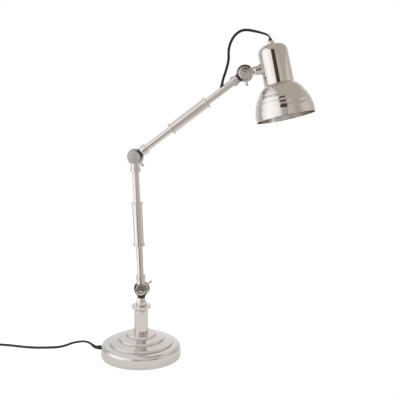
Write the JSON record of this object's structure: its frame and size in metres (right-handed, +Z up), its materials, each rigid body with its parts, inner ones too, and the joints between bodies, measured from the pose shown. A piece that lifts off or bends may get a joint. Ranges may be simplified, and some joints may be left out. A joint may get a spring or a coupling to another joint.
{
  "type": "desk lamp",
  "caption": "Swing-arm table lamp: stepped round base, swivelling post, two arms on clamp knuckles, bell shade with a looped cord, mains lead with rocker switch and plug.",
  "frame": {"origin": "middle of the base's underside, on the surface the lamp stands on", "axes": "+Z up the post; the arms fold in the XZ plane and the shade hangs towards +X; knuckle pivots lie along Y, with the hubs' fronts towards -Y and the clamp levers towards +Y"},
  "size_m": [0.8875, 0.165, 0.6638],
  "materials": {
    "nickel": "polished nickel plate",
    "iron": "rough casting, painted",
    "steel": "zinc-plated steel",
    "black_rubber": "satin black rubber",
    "black_plastic": "matt black nylon",
    "felt": "black felt",
    "opal_glass": "satin opal glass",
    "brass": "plain brass"
  },
  "bodies": {
    "base": {"base_cord": "black_rubber", "base_cover": "nickel", "base_grommet": "black_rubber", "base_nut": "steel", "base_plate": "steel", "base_weight": "iron", "cord_coil": "black_rubber", "felt_pad": "felt", "plug_body": "black_plastic", "plug_cord": "black_rubber", "plug_pins": "brass", "post_collar": "nickel", "post_plug": "steel", "post_tube": "nickel", "switch_cord": "black_rubber", "switch_housing": "black_plastic", "tie_rod": "steel"},
    "stem": {"stem": "nickel", "stem_bush": "black_plastic", "swivel_nut": "steel"},
    "lower_arm": {"elbow_hub_cap": "nickel", "elbow_knuckle": "nickel", "elbow_pivot_bolt": "nickel", "lower_arm_foot_ferrule": "nickel", "lower_arm_head_ferrule": "nickel", "lower_arm_lower_ring": "nickel", "lower_arm_sleeve": "nickel", "lower_arm_tube": "nickel", "lower_arm_upper_ring": "nickel", "lower_hub_cap": "nickel", "lower_knuckle": "nickel", "lower_pivot_bolt": "nickel"},
    "upper_arm": {"arm_grommet": "black_rubber", "elbow_bush": "black_plastic", "elbow_eye": "nickel", "head_bush": "black_plastic", "head_eye": "nickel", "upper_arm_foot_ferrule": "nickel", "upper_arm_head_ferrule": "nickel", "upper_arm_lower_ring": "nickel", "upper_arm_sleeve": "nickel", "upper_arm_tube": "nickel", "upper_arm_upper_ring": "nickel"},
    "head": {"bulb_cap": "brass", "bulb_glass": "opal_glass", "cord_gland": "nickel", "gland_bush": "black_rubber", "head_hub_cap": "nickel", "head_knuckle": "nickel", "head_pivot_bolt": "nickel", "holder_ring": "black_plastic", "lampholder": "black_plastic", "loop_cord": "black_rubber", "neck_nut": "steel", "neck_saddle": "nickel", "shade": "nickel"},
    "lower_lever": {"lower_lever": "nickel"},
    "elbow_lever": {"elbow_lever": "nickel"},
    "head_lever": {"head_lever": "nickel"},
    "rocker": {"switch_rocker": "black_plastic"}
  },
  "joints": [
    {"name": "base_swivel", "type": "hinge", "parent": "base", "child": "stem", "pos_m": [0, 0, 0.107], "axis": [0, 0, 1], "range_deg": [-170, 170]},
    {"name": "lower_tilt", "type": "hinge", "parent": "stem", "child": "lower_arm", "pos_m": [0, 0, 0.1405], "axis": [0, 1, 0], "range_deg": [-37, 43]},
    {"name": "elbow_tilt", "type": "hinge", "parent": "lower_arm", "child": "upper_arm", "pos_m": [-0.01424, 0, 0.41213], "axis": [0, 1, 0], "range_deg": [-85, 30]},
    {"name": "head_tilt", "type": "hinge", "parent": "upper_arm", "child": "head", "pos_m": [0.2001, 0, 0.57959], "axis": [0, 1, 0], "range_deg": [-84.8, 50.2], "deforming": ["loop_cord"]},
    {"name": "lower_lever_turn", "type": "hinge", "parent": "lower_arm", "child": "lower_lever", "pos_m": [0, 0, 0.1405], "axis": [0, 1, 0], "range_deg": [-30, 60]},
    {"name": "elbow_lever_turn", "type": "hinge", "parent": "lower_arm", "child": "elbow_lever", "pos_m": [-0.01424, 0, 0.41213], "axis": [0, 1, 0], "range_deg": [-30, 60]},
    {"name": "head_lever_turn", "type": "hinge", "parent": "head", "child": "head_lever", "pos_m": [0.2001, 0, 0.57959], "axis": [0, 1, 0], "range_deg": [-30, 60]},
    {"name": "switch_rock", "type": "hinge", "parent": "base", "child": "rocker", "pos_m": [-0.357, 0.015, 0.017], "axis": [0, 1, 0], "range_deg": [0, 14]}
  ]
}
